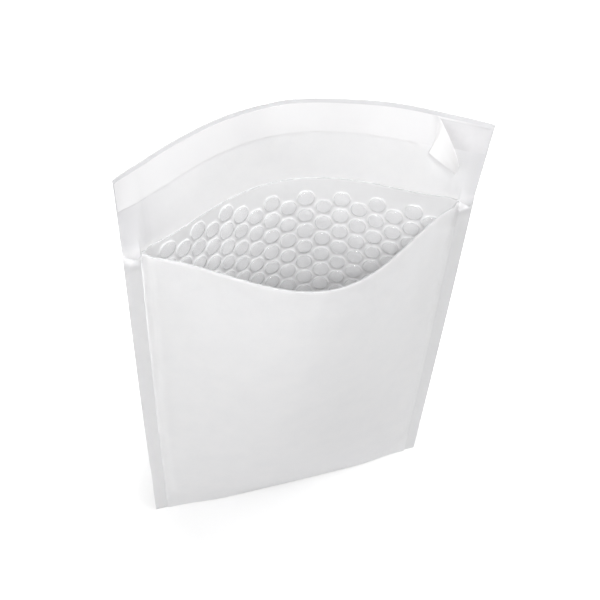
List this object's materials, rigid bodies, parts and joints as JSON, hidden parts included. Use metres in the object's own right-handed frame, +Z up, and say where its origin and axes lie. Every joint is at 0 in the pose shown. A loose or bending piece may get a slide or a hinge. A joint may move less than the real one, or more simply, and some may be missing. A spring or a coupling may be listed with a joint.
{
  "type": "padded envelope",
  "caption": "Padded mailing envelope standing on its bottom fold, mouth held open on a clear bubble lining, flap up with a part-peeled adhesive liner.",
  "frame": {"origin": "middle of the flat underside of the bottom fold", "axes": "+X along the envelope's width to the right as its front is looked at, -Y out of the front panel, +Y out of the back panel that carries the flap, +Z up from the bottom fold to the flap"},
  "size_m": [0.216, 0.0898, 0.3273],
  "materials": {
    "outer_sheet": "smooth white outer sheet with a soft sheen",
    "bubble_film": "clear glossy bubble film",
    "adhesive": "clear tacky adhesive coat",
    "liner_film": "smooth release coated strip"
  },
  "bodies": {
    "root": {"outer_envelope": "outer_sheet", "bubble_lining": "bubble_film", "adhesive_strip": "adhesive", "release_liner": "liner_film"}
  },
  "joints": []
}
